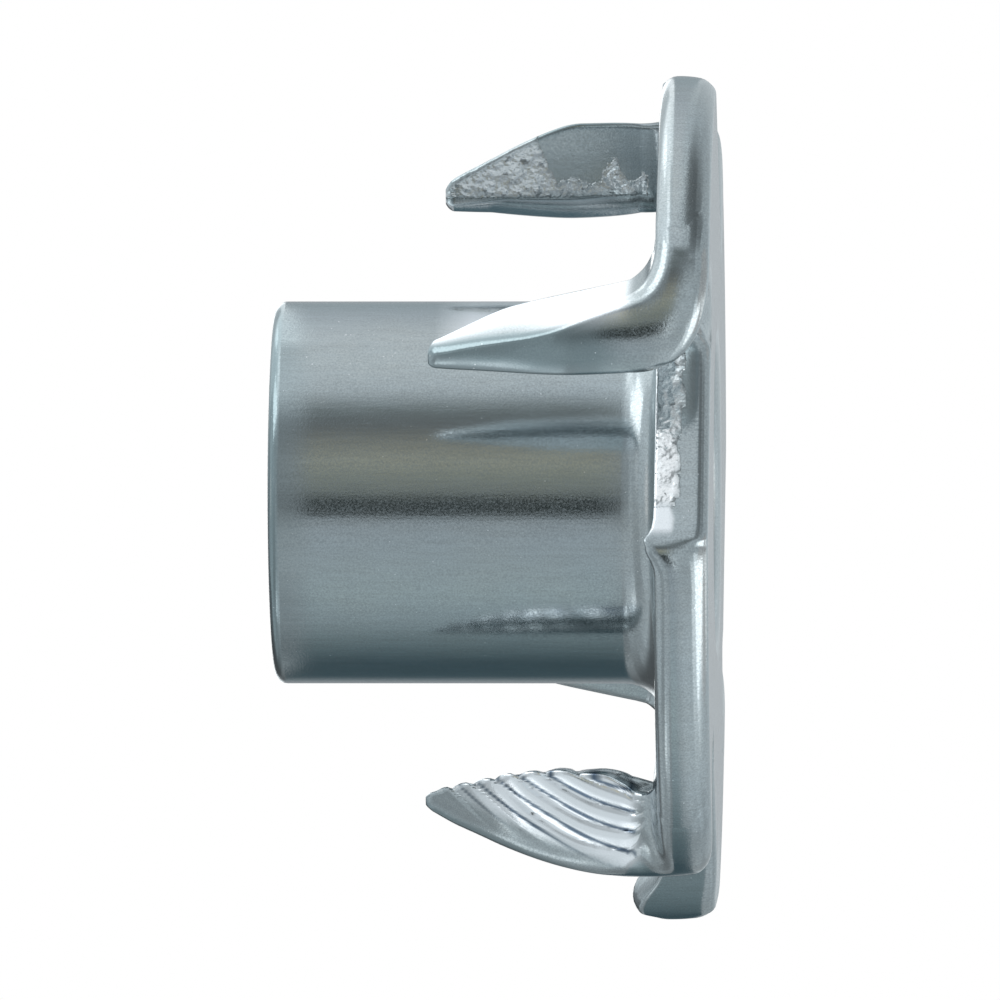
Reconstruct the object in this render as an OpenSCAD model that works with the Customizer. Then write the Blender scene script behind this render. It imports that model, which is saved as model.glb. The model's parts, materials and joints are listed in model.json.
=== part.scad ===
// Four-prong tee nut, stamped in one piece: a threaded barrel drawn out of a round flange, and four prongs
// that are lanced from the flange's rim and bent up round the barrel.
// The back of the flange lies on Z = 0, the nut's axis is Z, and the barrel and the prongs point along +Z.

/* [Overall] */
// Height from the back of the flange to the end of the barrel
nut_h = 11.55; // [9:0.05:16]
// Diameter of the flange
flange_d = 22; // [18:0.1:27]

/* [Flange] */
// Thickness of the flange
flange_t = 1.4; // [1.2:0.05:1.9]
// Radius on both edges of the rim
rim_r = 0.4; // [0.1:0.05:0.55]

/* [Barrel] */
// Outside diameter of the barrel
barrel_d = 10; // [9.6:0.1:12.2]
// Radius where the barrel leaves the flange
root_r = 1.0; // [0.3:0.05:1.2]
// Radius on the outer edge of the barrel's end
end_r = 0.3; // [0.1:0.05:0.4]

/* [Thread] */
// Nominal diameter of the screw
thread_d = 8; // [6:0.5:8]
// Pitch of the thread
thread_pitch = 1.25; // [0.75:0.25:1.5]
// Radius of the drawn mouth on the back of the flange
mouth_r = 1.1; // [0.3:0.05:1.3]
// How far the lead-in at the barrel's end is wider than the thread, in radius
lead_in = 0.1; // [0:0.05:0.3]

/* [Prongs] */
// Number of prongs
prong_n = 4; // [3:1:4]
// How far the tips stand above the front of the flange
prong_reach = 5.9; // [4.5:0.05:8]
// Width of a prong at its root
prong_w = 2.4; // [1.8:0.05:3]
// Width of the blunt tip
tip_w = 0.6; // [0.3:0.05:1]
// Thickness of the blunt tip
tip_t = 0.4; // [0.2:0.05:0.8]
// Distance from the rim in to the middle of a prong's root, along a radius
prong_inset = 1.6; // [1.4:0.05:2.4]
// Length over which the tip is bevelled from the prong's face
tip_bevel = 1.4; // [0.6:0.05:2]
// Lean of the face of a prong towards its back, in degrees
face_lean = 11.5; // [5:0.5:14]
// Lean of the back of a prong away from its face, in degrees
back_lean = 3.5; // [0:0.5:5]
// Length of the bend along the flange's front
bend_front = 0.95; // [0.6:0.05:1.6]
// Length of the bend along the flange's back
bend_back = 2.6; // [1.8:0.05:3]

/* [Sheared edges] */
// Width of the bevel that the lance leaves on the back of a prong, along its inner edge
shear_bevel = 0.5; // [0.1:0.05:0.7]
// Depth of the ripples that the shear leaves on the face of a prong
ripple = 0.08; // [0:0.01:0.12]
// Number of ripples between the bend and the tip
ripple_n = 6; // [3:1:7]
// Height of the burr at the free corner of each lobe, where the lance runs out through the rim
burr_h = 0.4; // [0.1:0.05:0.6]
// Length of the burr along the rim and along the lanced edge
burr_w = 0.9; // [0.4:0.05:1.4]

/* [Notches] */
// Slope of the lanced edge that each prong leaves in the flange, in degrees
lance_slope = 34.4; // [28:0.2:40]

/* [Hidden] */
$fn = 96;

flange_r = flange_d / 2;
barrel_r = barrel_d / 2;
// The thread's crests are left as a plain bore at the basic minor diameter.
bore_r = (thread_d - 1.0825 * thread_pitch) / 2;
lead_r = thread_d / 2 + lead_in;

// How far the prongs are sunk into the flange where the two join, so that no faces coincide
sink = 0.02;
// The middle of a prong's root lies on the diagonal of the prong's own axes.
root_c = (flange_r - prong_inset) / sqrt(2);
edge_in = root_c - prong_w / 2;
edge_out = root_c + prong_w / 2;
// Shares of the flange's thickness: how far the blade's back lies from the root's middle, and how thick
// the blade is at its root, where the bend has piled the metal up
back_share = 0.48;
root_share = 1.44;
back_y = root_c - flange_t * back_share;
// Where the face of the prong would meet the flange's front if there were no bend
face_y = back_y + flange_t * root_share;
tip_z = flange_t + prong_reach;
// The bend's foot on the flange's front, and how far the prong's solid runs on past it inside the flange
foot_y = face_y + bend_front;
foot = 0.25;
// Heights at which the bend ends, on the face and on the back
bend_face_z = flange_t + bend_front;
bend_share = 1.45;
bend_back_z = flange_t * bend_share;
// How far along the bend its back rises out of the flange. From there on the prong keeps clear of the
// flange beside it, so that nothing overhangs the front.
emerge = sqrt(flange_t / bend_back_z);
// The tip's middle lies a little nearer the barrel than the root's middle.
tip_shift = 0.15;
tip_c = root_c - tip_shift * prong_w;
// Share of the blade over which its inner edge slopes to the tip
slope_share = 0.5;

function lerp(a, b, t) = a + (b - a) * t;
function bend_curve(p, corner, q, t) = pow(1 - t, 2) * p + 2 * t * (1 - t) * corner + t * t * q;

// Face and back of the prong as [y, z], from the flat lobe (s = -1 to 0) through the bend (0 to 1)
// and along the blade to the tip (1 to 2)
function face_at(z) = face_y - (z - flange_t) * tan(face_lean);
function back_at(z) = back_y - max(0, z - bend_back_z) * tan(back_lean);
function blade_t(s) =
    let (z = lerp(bend_face_z, tip_z, s - 1), p = max(0, 1 - (tip_z - z) / tip_bevel))
    lerp(face_at(z) - back_at(z), tip_t, pow(p, 1.1));
function back_point(s) =
    s < 0 ? lerp([back_y + bend_back, sink], [foot_y + foot, sink], -s)
    : s < 1 ? bend_curve([back_y + bend_back, sink], [back_y, sink], [back_y, bend_back_z], s)
    : let (z = lerp(bend_back_z, tip_z, s - 1)) [back_at(z), z];
function face_point(s) =
    s < 0 ? [foot_y - s * foot, flange_t - sink]
    : s < 1 ? bend_curve(
        [foot_y, flange_t - sink], [face_y, flange_t - sink],
        [face_at(bend_face_z), bend_face_z], s)
    : let (z = lerp(bend_face_z, tip_z, s - 1)) [back_at(z) + blade_t(s), z];

// Distance of the rim from the nut's Y axis at a given y, for a point inset from the rim
function rim_x(y, inset) = sqrt(max(0, pow(flange_r - sink - inset, 2) - y * y));

// Inner and outer edges of the prong. The outer edge keeps to the rim until the prong is narrower than that.
foot_in = rim_x(foot_y + foot, rim_r) - 2 * rim_r;
function inner_x(s) =
    s < emerge ? lerp(foot_in, edge_in + sink, pow(max(0, s) / emerge, 0.7))
    : lerp(edge_in + sink, tip_c - tip_w / 2, pow(max(0, (s - 2 + slope_share) / slope_share), 1.2));
function outer_x(s) = s < 1 ? edge_out : lerp(edge_out, tip_c + tip_w / 2, pow(s - 1, 1.35));
// The tip's last stations shrink, which rounds its end.
function end_scale(s) = sqrt(1 - pow(0.8 * max(0, (s - 1.96) / 0.04), 2));

// Rises from 0 at a to 1 at b, level at both ends
function ease(x, a, b) = let (t = max(0, min(1, (x - a) / (b - a)))) t * t * (3 - 2 * t);

// Shear ripples, as a push out of the face at a point that far across the blade and that high. They run up
// from the bend and turn in to the inner edge, so the count grows with the length of the pair (across, up).
// Upwards they crowd together by the first power, and the second one makes round crests and narrow grooves.
crowd_power = 1.55;
crest_power = 0.7;
// Mean height of a ripple, which leaves the face where it is on average
ripple_mean = 0.75;
// Height at which the ripples start, and the lengths over which they fade in there and out at the outer edge
ripple_z = bend_back_z + 0.3;
start_fade = [-0.3, 0.6];
edge_fade = [0.25, 0.75];
function ripple_count(across, z) =
    ripple_n * norm([across / prong_w, pow(max(0, (z - ripple_z) / (tip_z - ripple_z)), crowd_power)]);
function ripple_at(across, w, z) =
    ripple * (pow(abs(sin(180 * ripple_count(across, z))), crest_power) - ripple_mean)
    * ease(w - across, edge_fade[0], edge_fade[1]) * ease(z - ripple_z, start_fade[0], start_fade[1]);

// One cross-section as [across, through] points: a rectangle w across and t through with its corners rounded,
// and the corner at the back of the inner edge bevelled, with the bevel's middle standing out a little
bevel_mid = [0.2, 0.55];
corner_steps = 3;
function corner(cx, cy, r, from, steps) =
    [for (i = [0 : steps]) [cx + r * cos(from + 90 * i / steps), cy + r * sin(from + 90 * i / steps)]];
function section(w, t, bevel, r_in, r_out) =
    let (limit = 0.48 * min(w, t), a = min(r_in, limit), b = min(r_out, limit), v = min(bevel, limit))
    concat(
        [[0, v], v * bevel_mid, [v, 0]],
        corner(w - b, b, b, 270, corner_steps), corner(w - b, t - b, b, 0, corner_steps),
        [for (i = [1 : face_steps]) [lerp(w - b, a, i / (face_steps + 1)), t]],
        corner(a, t - a, a, 90, corner_steps));

// The inner edge is rounded off widely in the bend, where it runs out into the flange. Between its corners the
// section is squeezed to end inside the rim.
bend_round = 2.2;
blade_round = 0.6;
function inner_round(s) = rim_r * lerp(bend_round, blade_round, ease(s, 0, 1));
// The bevel grows along the bend to its full width.
bevel_start = 0.2;
bevel_fade = [0.3, 1.2];
function bevel_at(s) = shear_bevel * lerp(bevel_start, 1, ease(s, bevel_fade[0], bevel_fade[1]));
function ring(s) =
    let (
        p = back_point(s),
        q = face_point(s),
        t = norm(q - p),
        w = outer_x(s) - inner_x(s),
        k = end_scale(s)
    ) [for (c = section(w, t, bevel_at(s), inner_round(s), rim_r))
        let (
            through = c[1] / t,
            yz = lerp(p, q, 0.5 + k * (through - 0.5)),
            push = ripple_at(c[0], w, yz[1]) * ease(through, 0.3, 1),
            on_edge = c[0] < 0.01 ? 1 : 0,
            across = w * (0.5 + k * (c[0] / w - 0.5)) - push * on_edge,
            squeeze = min(1, (rim_x(yz[0], rim_r) - inner_x(s)) / (w - rim_r)),
            near_rim = c[0] > w - rim_r - 0.001
        ) concat(
            [near_rim ? min(inner_x(s) + across, rim_x(yz[0], w - c[0])) : inner_x(s) + across * squeeze],
            yz + push * (1 - on_edge) * (q - p) / t)];

bend_steps = 8;
blade_steps = 26;
face_steps = 11;
stations = concat(
    [-1], [for (i = [0 : bend_steps - 1]) i / bend_steps],
    [for (i = [0 : blade_steps]) 1 + sin(90 * i / blade_steps)]);

module prong() {
    rings = [for (s = stations) ring(s)];
    n = len(rings[0]);
    last = len(rings) - 1;
    polyhedron(
        points = [for (r = rings) each r],
        faces = concat(
            [[for (i = [0 : n - 1]) i]],
            [for (k = [0 : last - 1], i = [0 : n - 1])
                let (a = k * n + i, b = k * n + (i + 1) % n) each [[a, a + n, b], [b, a + n, b + n]]],
            [[for (i = [n - 1 : -1 : 0]) last * n + i]]
        )
    );
}

// The lanced edge of the next lobe, as the point that far out from the axis
lance_dir = [cos(lance_slope), -sin(lance_slope)];
function lance_at(r) =
    let (p = [edge_in, back_y], along = p * lance_dir)
    p + lance_dir * (sqrt(along * along - p * p + r * r) - along);

// The burr at the free corner of a lobe, highest at the corner. Its outer side lies that share of the rim's
// radius inside the rim, its lanced side a little inside the lanced edge, and its foot that deep in the lobe.
burr_in = 0.6;
burr_foot = 0.1;
module burr() {
    r = flange_r - rim_r * burr_in;
    tip = lance_at(r) - sink * [sin(lance_slope), cos(lance_slope)];
    turn = burr_w / r * 180 / PI;
    base = [tip, tip - lance_dir * burr_w,
        [tip[0] * cos(turn) + tip[1] * sin(turn), tip[1] * cos(turn) - tip[0] * sin(turn)]];
    low = flange_t - rim_r;
    polyhedron(
        points = concat([for (q = base) [q[0], q[1], low]], [for (i = [0 : 2])
            [base[i][0], base[i][1], i == 0 ? flange_t + burr_h : flange_t - burr_foot]]),
        faces = [[0, 1, 2], [3, 5, 4], [0, 3, 4, 1], [1, 4, 5, 2], [2, 5, 3, 0]]);
}

// What the lancing takes out of the flange, between the lanced edge and the foot of the bend
module notch() {
    reach = flange_d;
    translate([0, 0, -1])
        linear_extrude(flange_t + 2)
            polygon([
                [edge_in, back_y],
                [edge_in + reach * cos(lance_slope), back_y - reach * sin(lance_slope)],
                [edge_in + reach, foot_y],
                [foot_in + 2 * rim_r, foot_y]
            ]);
}

// Outline of the flange and barrel on one side of the axis, closed at the axis
module blank_outline() {
    polygon(concat(
        [[0, 0]],
        corner(flange_r - rim_r, rim_r, rim_r, -90, 12),
        corner(flange_r - rim_r, flange_t - rim_r, rim_r, 0, 12),
        [for (i = [0 : 12]) [
            barrel_r + root_r - root_r * sin(90 * i / 12),
            flange_t + root_r - root_r * cos(90 * i / 12)]],
        corner(barrel_r - end_r, nut_h - end_r, end_r, 0, 12),
        [[0, nut_h]]
    ));
}

// The bore, with the drawn mouth at the back and the lead-in at the barrel's end
module bore() {
    translate([0, 0, -1]) cylinder(r = bore_r, h = nut_h + 2);
    rotate_extrude()
        polygon(concat(
            [[0, -1], [bore_r + mouth_r, -1]],
            [for (i = [0 : 12]) [
                bore_r + mouth_r - mouth_r * sin(90 * i / 12),
                mouth_r - mouth_r * cos(90 * i / 12)]],
            [[0, mouth_r]]
        ));
    translate([0, 0, nut_h - lead_r + bore_r])
        cylinder(r1 = bore_r, r2 = lead_r + 1, h = lead_r + 1 - bore_r);
}

module tee_nut() {
    color("silver")
        difference() {
            union() {
                difference() {
                    rotate_extrude() blank_outline();
                    for (i = [0 : prong_n - 1]) rotate(i * 360 / prong_n) notch();
                }
                for (i = [0 : prong_n - 1]) rotate(i * 360 / prong_n) {
                    prong();
                    burr();
                }
            }
            bore();
        }
}

tee_nut();
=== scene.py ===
"""Looks of a four-prong tee nut stamped from one piece of steel and zinc plated.

The part is one surface swept round the nut's axis, with the four lanced prongs joined to it. Shapes are worked out
in millimetres in the nut's own frame, with the flange's back on Z = 0 and the barrel along +Z, and meshes are
written in metres.
"""

import json
import logging
import math
from collections.abc import Callable
from dataclasses import dataclass, field
from enum import Enum

import bpy
import numpy as np
from mathutils import Matrix, Vector

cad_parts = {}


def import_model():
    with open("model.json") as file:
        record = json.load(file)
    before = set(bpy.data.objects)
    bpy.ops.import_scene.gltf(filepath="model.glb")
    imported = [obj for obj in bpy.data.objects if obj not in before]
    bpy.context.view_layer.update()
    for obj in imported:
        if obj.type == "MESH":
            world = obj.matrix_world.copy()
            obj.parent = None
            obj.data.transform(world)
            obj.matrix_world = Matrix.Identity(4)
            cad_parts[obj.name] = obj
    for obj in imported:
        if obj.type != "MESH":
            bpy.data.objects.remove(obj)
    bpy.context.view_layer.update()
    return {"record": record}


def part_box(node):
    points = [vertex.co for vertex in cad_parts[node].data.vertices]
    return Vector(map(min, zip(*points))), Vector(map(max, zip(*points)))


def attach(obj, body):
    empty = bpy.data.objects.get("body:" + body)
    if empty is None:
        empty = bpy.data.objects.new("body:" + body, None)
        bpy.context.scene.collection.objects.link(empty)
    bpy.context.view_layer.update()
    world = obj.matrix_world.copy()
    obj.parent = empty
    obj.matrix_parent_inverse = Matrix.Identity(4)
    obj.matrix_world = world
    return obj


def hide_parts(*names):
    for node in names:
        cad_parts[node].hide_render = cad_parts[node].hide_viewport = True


LOG = logging.getLogger("tee_nut")
MM = 0.001
LANCE_SLOPE = 34.4
MASKS = ("torn", "painted_highlight", "painted_groove_shade", "painted_shade")


class Side(Enum):
    """Which way a helper rounds a pair of lengths off."""

    SMALLER = -1
    LARGER = 1


def smooth_step(t: np.ndarray) -> np.ndarray:
    """Returns 3t^2 - 2t^3 with t held between 0 and 1.

    Args:
        t: Any values.

    Returns:
        Values from 0 to 1 that start and end level.
    """
    t = np.clip(t, 0.0, 1.0)
    return t * t * (3.0 - 2.0 * t)


def blend_extreme(a: np.ndarray, b: np.ndarray, width: float, side: Side) -> np.ndarray:
    """Returns the smaller or larger of two values with the change-over rounded.

    The formula is half of a + b plus or minus the root of (a - b)^2 + width^2.

    Args:
        a: First values.
        b: Second values.
        width: How wide the rounding is, in the values' own unit.
        side: Whether the smaller or the larger is kept.

    Returns:
        The rounded minimum or maximum.
    """
    return 0.5 * (a + b + side.value * np.sqrt((a - b) ** 2 + width**2))


def round_off(a: np.ndarray, b: np.ndarray, width: np.ndarray) -> np.ndarray:
    """Returns the smaller of two values, rounded where they are nearer to each other than width.

    Args:
        a: First values.
        b: Second values.
        width: Difference from which on the result is exactly the smaller one.

    Returns:
        The rounded minimum.
    """
    near = np.clip(width - np.abs(a - b), 0, None)
    return np.minimum(a, b) - near**2 / (4 * width)


def spread_samples(start: float, stop: float, count: int, hot: list[tuple[float, float, float]]) -> np.ndarray:
    """Spreads samples along a range, closer together round given places.

    The density is 1 plus a bell of given height and width at each place, and the samples divide its running sum
    evenly.

    Args:
        start: First sample.
        stop: End of the range, which is left out.
        count: How many samples.
        hot: (place, bell height, bell width) of each place.

    Returns:
        The samples in rising order.
    """
    fine = np.linspace(start, stop, 4001)
    density = np.ones_like(fine)
    for place, height, width in hot:
        density += height * np.exp(-(((fine - place) / width) ** 2))
    total = np.concatenate([[0.0], np.cumsum(0.5 * (density[1:] + density[:-1]))])
    return np.interp(np.arange(count) / count * total[-1], total, fine)


def grid_faces(rows: int, columns: int, close_rows: bool, close_columns: bool) -> np.ndarray:
    """Numbers the quads of a grid whose points are counted row by row.

    Args:
        rows: Points down the grid.
        columns: Points across the grid.
        close_rows: Whether the last row joins the first.
        close_columns: Whether the last column joins the first.

    Returns:
        An array of quads, four point numbers each.
    """
    r = np.arange(rows if close_rows else rows - 1)
    c = np.arange(columns if close_columns else columns - 1)
    rr, cc = np.meshgrid(r, c, indexing="ij")
    down, right = (rr + 1) % rows, (cc + 1) % columns
    quads = np.stack([rr * columns + cc, rr * columns + right, down * columns + right, down * columns + cc], axis=-1)
    return quads.reshape(-1, 4)


def mesh_object(name: str, points_mm: np.ndarray, faces: list[list[int]]) -> bpy.types.Object:
    """Makes a mesh object at the origin from points in millimetres.

    Args:
        name: Name of the object and of its mesh.
        points_mm: Points, one row each.
        faces: Point numbers of each face, outward by the right-hand rule.

    Returns:
        The new object, linked to the scene.
    """
    mesh = bpy.data.meshes.new(name)
    mesh.from_pydata((points_mm * MM).tolist(), [], faces)
    mesh.validate()
    mesh.update()
    obj = bpy.data.objects.new(name, mesh)
    bpy.context.scene.collection.objects.link(obj)
    return obj


@dataclass
class Blank:
    """The flange and barrel, in millimetres: what the press leaves apart from the prongs."""

    flange_r: float
    flange_t: float
    height: float
    barrel_r: float
    bore_r: float
    rim_r: float = 0.4
    root_r: float = 1.0
    end_r: float = 0.3
    crown: float = 0.09
    crown_at: float = 0.66
    mouth_r: float = 1.1
    thread_pitch: float = 1.25
    thread_r: float = 4.0
    lead_in: float = 0.1

    @classmethod
    def from_frame(cls, record: dict) -> "Blank":
        """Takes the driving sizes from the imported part's box and mounts.

        Args:
            record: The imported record.

        Returns:
            The blank's sizes.
        """
        low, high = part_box("tee_nut")
        mounts = {m["name"]: m for m in record["mounts"]}
        return cls(
            flange_r=(high[0] - low[0]) / 2 / MM,
            flange_t=mounts["flange_front"]["pos_m"][2] / MM,
            height=(high[2] - low[2]) / MM,
            barrel_r=mounts["barrel"]["dims"]["r_mm"],
            bore_r=mounts["thread"]["dims"]["r_mm"],
        )


@dataclass
class Prong:
    """One lanced prong, in its own axes: its plane runs along X and its face looks along +Y.

    Sizes are in millimetres and angles in degrees.
    """

    turn: float
    tip_z: float = 7.3
    width: float = 2.4
    tip_in: float = 5.98
    tip_t: float = 0.42
    tip_bevel: float = 1.5
    tip_power: float = 1.1
    inset: float = 1.6
    face_lean: float = 11.5
    back_lean: float = 3.5
    bend_front: float = 0.95
    bend_back: float = 2.6
    face_shift: float = 0.0
    outer: tuple[tuple[float, float], ...] = (
        (0.0, 7.83), (1.4, 7.77), (2.4, 7.66), (3.2, 7.4), (4.0, 7.1), (4.6, 6.88), (5.4, 6.62), (5.8, 6.45))
    slope_power: float = 1.6
    back_round: float = 0.16
    face_round: float = 0.3
    wedge: float = 0.5
    outer_lean: float = 0.0
    inner_lean: float = 0.0
    inner_round: float = 0.28
    inner: tuple[tuple[float, float], ...] = ((0.0, 0.0), (6.0, 0.0))
    bend_round: float = 0.0
    merge: float = 1.0
    # Strength of a painted highlight over the prong's face.
    face_highlight: float = 0.0
    wedge_start: float = 1.8
    bevel: tuple[float, float] = (0.5, 0.43)
    ripple: float = 0.0
    ripple_count: float = 6.3
    scallop: float = 0.0
    lip: float = 0.0
    lip_w: float = 0.4
    lip_back: float = 0.1
    lip_in: float = 0.0
    lip_power: float = 1.6
    lip_out: float = 0.0
    torn: float = 1.0
    ragged: float = 0.0


@dataclass
class ProngShape:
    """Works out one prong's surface from its sizes and the blank it is lanced from."""

    prong: Prong
    blank: Blank
    sink: float = 0.02
    foot: float = 0.6
    stations_flat: int = 8
    stations_bend: int = 26
    stations_blade: int = 62
    face_samples: int = 38

    def __post_init__(self) -> None:
        """Derives the places that the curves share."""
        p, b = self.prong, self.blank
        self.root = (b.flange_r - p.inset) / math.sqrt(2)
        self.edge_in = self.root - p.width / 2
        self.edge_out = self.root + p.width / 2
        self.back_y = self.root - 0.48 * b.flange_t
        self.face_y = self.back_y + 1.44 * b.flange_t + p.face_shift
        self.foot_y = self.face_y + p.bend_front
        self.tip_z = p.tip_z
        self.bend_face_z = b.flange_t + p.bend_front
        self.bend_back_z = 1.45 * b.flange_t
        self.emerge = math.sqrt(b.flange_t / self.bend_back_z)
        slope = math.radians(LANCE_SLOPE)
        start = self.edge_in * math.cos(slope) - self.back_y * math.sin(slope)
        self.cut_length = math.sqrt(start**2 + b.flange_r**2 - self.edge_in**2 - self.back_y**2) - start

    def bend(self, start: tuple, corner: tuple, end: tuple, t: np.ndarray) -> np.ndarray:
        """Returns a quadratic curve from start to end that is tangent to both legs at the corner."""
        t = t[:, None]
        return (1 - t) ** 2 * np.array(start) + 2 * t * (1 - t) * np.array(corner) + t**2 * np.array(end)

    def face_at(self, z: np.ndarray) -> np.ndarray:
        """Returns how far along Y the unbevelled face lies at height z."""
        return self.face_y - (z - self.blank.flange_t) * math.tan(math.radians(self.prong.face_lean))

    def back_at(self, z: np.ndarray) -> np.ndarray:
        """Returns how far along Y the back lies at height z."""
        return self.back_y - np.maximum(0, z - self.bend_back_z) * math.tan(math.radians(self.prong.back_lean))

    def spine(self, s: np.ndarray) -> tuple[np.ndarray, np.ndarray]:
        """Returns the face's and the back's (y, z) along the prong.

        From s = -1 to 0 both lie in the flange, from 0 to 1 they follow the bend, and from 1 to 2 the blade. Near
        the tip the face closes on the back along a bevel.

        Args:
            s: Stations along the prong.

        Returns:
            The face's points and the back's points.
        """
        t, p = self.blank.flange_t, self.prong
        flat = np.clip(-s, 0, 1)[:, None]
        bend = np.clip(s, 0, 1)
        q = np.clip(s - 1, 0, 1)
        face = self.bend((self.foot_y, t), (self.face_y, t), (self.face_at(self.bend_face_z), self.bend_face_z), bend)
        back = self.bend((self.back_y + p.bend_back, 0), (self.back_y, 0), (self.back_y, self.bend_back_z), bend)
        end = self.foot_y + self.foot
        face = face + flat * (np.array([end, t]) - face)
        back = back + flat * (np.array([end, 0.0]) - back)
        z_face = self.bend_face_z + q * (self.tip_z - self.bend_face_z)
        z_back = self.bend_back_z + q * (self.tip_z - self.bend_back_z)
        thick = self.thickness(z_face)
        blade = (s > 1)[:, None]
        face = np.where(blade, np.stack([self.back_at(z_face) + thick, z_face], -1), face)
        back = np.where(blade, np.stack([self.back_at(z_back), z_back], -1), back)
        return face, back

    def edges(self, s: np.ndarray) -> tuple[np.ndarray, np.ndarray, np.ndarray]:
        """Returns the X of the prong's inner and outer edges at each station, and of the inner one as planned."""
        p, b = self.prong, self.blank
        q = np.clip(s - 1, 0, 1)
        start = self.rim_x(np.array(self.foot_y + self.foot), np.array(b.rim_r)) - 2.2 * b.rim_r
        slope = p.tip_in - self.edge_in
        blade_in = self.edge_in + self.sink + slope * np.clip((q - 0.35) / 0.65, 0, 1) ** p.slope_power
        heights, places = np.array(p.outer).T
        z = (self.bend_face_z + self.bend_back_z) / 2 * (1 - q) + self.tip_z * q - b.flange_t
        z = np.where(s < 1, np.clip(s, 0, 1) * z, z)
        outer = np.mean([np.interp(z + k * 0.12, heights, places) for k in range(-2, 3)], axis=0)
        shift = np.mean([np.interp(z + k * 0.12, *np.array(p.inner).T) for k in range(-2, 3)], axis=0)
        rising = np.clip(s / self.emerge, 0, 1) ** 0.7
        plain = np.where(s < 1, start + (self.edge_in + self.sink - start) * rising, blade_in)
        return plain + shift * rising, outer, plain

    def rim_x(self, y: np.ndarray, inset: np.ndarray) -> np.ndarray:
        """Returns the X at which a circle that much inside the rim crosses Y = y."""
        return np.sqrt(np.maximum(0, (self.blank.flange_r - inset) ** 2 - y**2))

    def thickness(self, z: np.ndarray) -> np.ndarray:
        """Returns how thick the blade is at height z, counting the bevel of the tip."""
        near_tip = np.clip(1 - (self.tip_z - z) / self.prong.tip_bevel, 0, 1) ** self.prong.tip_power
        full = self.face_at(z) - self.back_at(z)
        return full + near_tip * (self.prong.tip_t - full)

    def painted_band_edge(self, z: np.ndarray) -> np.ndarray:
        """Returns the X up to which the ripple crests and grooves are painted at height z: the outer edge less the
        face's rounding.
        """
        heights, places = np.array(self.prong.outer).T
        return np.interp(z - self.blank.flange_t, heights, places) - self.prong.face_round

    def shells(self, across: np.ndarray, z: np.ndarray) -> np.ndarray:
        """Returns the height of the shear ripples, from 0 in a groove to 1 on a crest.

        The ripples run straight up from the bend and turn in towards the inner edge. Their phase is a count times
        the sum of the share of the width and the share of the height to the power 1.7. Within one ripple the
        height climbs quickly from the groove and falls slowly, like overlapping scales.
        """
        up = np.clip((z - self.bend_back_z) / (self.tip_z - self.bend_back_z - 0.2), 0, 1.2) ** 1.7
        phase = self.prong.ripple_count * (np.clip(across / 3.6, -0.1, 2) + up) + 0.2
        scale = np.abs(np.sin(math.pi * (phase % 1.0) ** 0.75)) ** 0.6
        return scale + 0.05 * np.abs(np.sin(3 * math.pi * phase))

    def surface(self) -> tuple[np.ndarray, np.ndarray]:
        """Works out the prong's closed surface.

        Each station has a ring: a rectangle with rounded corners, one of them cut to a bevel, laid between the
        back's and the face's points. The face's points are pushed in and out by the shear ripples.

        Returns:
            Ring points as stations x samples x 3, and the two end points.
        """
        b, p = self.blank, self.prong
        s = np.concatenate([
            np.linspace(-1, 0, self.stations_flat, endpoint=False),
            np.linspace(0, 1, self.stations_bend, endpoint=False),
            1 + np.sin(np.linspace(0, 0.5 * math.pi, self.stations_blade)) ** 1.05,
        ])
        face, back = self.spine(s)
        x_in, x_out, plain = self.edges(s)
        self.inner_line = (face + back)[:, 1] / 2, plain
        thick = np.linalg.norm(face - back, axis=1)
        width = x_out - x_in
        limit = 0.46 * np.minimum(width, thick)
        grow = smooth_step(s * 0.8)
        r_out = b.rim_r + (p.face_round - b.rim_r) * grow + p.bend_round * np.sin(math.pi * np.clip(s, 0, 1)) ** 2
        r_out = np.minimum(r_out, limit)
        r_back = np.minimum(b.rim_r + (p.back_round - b.rim_r) * smooth_step(s - 0.2), limit)
        r_in = np.minimum(p.inner_round + 0.6 * (1 - smooth_step(s)), limit)
        cut_w = np.minimum(p.bevel[0] * smooth_step(s - 0.3) + 0.1, limit)
        cut_t = np.minimum(p.bevel[1] * smooth_step(s - 0.3) + 0.1, limit)

        def arc(cx: np.ndarray, cy: np.ndarray, r: np.ndarray, start: float, count: int) -> np.ndarray:
            angle = np.radians(np.linspace(start, start + 90, count))[None, :]
            return np.stack([cx[:, None] + r[:, None] * np.cos(angle), cy[:, None] + r[:, None] * np.sin(angle)], -1)

        def line(a: np.ndarray, c: np.ndarray, count: int) -> np.ndarray:
            t = (np.arange(1, count + 1) / (count + 1))[None, :, None]
            return a[:, None, :] + t * (c - a)[:, None, :]

        zero = np.zeros_like(s)
        cut = np.stack([np.stack([zero, cut_t], -1), np.stack([cut_w * 0.12, cut_t * 0.72], -1),
                        np.stack([cut_w * 0.85, cut_t * 0.08], -1), np.stack([cut_w, zero], -1)], 1)
        out_back = arc(width - r_back, r_back, r_back, 270, 6)
        out_face = arc(width - r_out, thick - r_out, r_out, 0, 8)
        in_face = arc(r_in, thick - r_in, r_in, 90, 5)
        parts = [cut, line(cut[:, -1], out_back[:, 0], 14), out_back, line(out_back[:, -1], out_face[:, 0], 3), out_face,
                 line(out_face[:, -1], in_face[:, 0], self.face_samples), in_face, line(in_face[:, -1], cut[:, 0], 3)]
        ring = np.concatenate(parts, axis=1)
        shrink = np.sqrt(np.clip(1 - (0.85 * np.clip((s - 1.955) / 0.045, 0, 1)) ** 2, 0, 1))[:, None]
        mid = np.stack([width / 2, thick / 2], -1)[:, None, :]
        ring = mid + (ring - mid) * shrink[:, :, None]

        through = ring[..., 1] / thick[:, None]
        yz = back[:, None, :] + through[..., None] * (face - back)[:, None, :]
        across = ring[..., 0]
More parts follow.
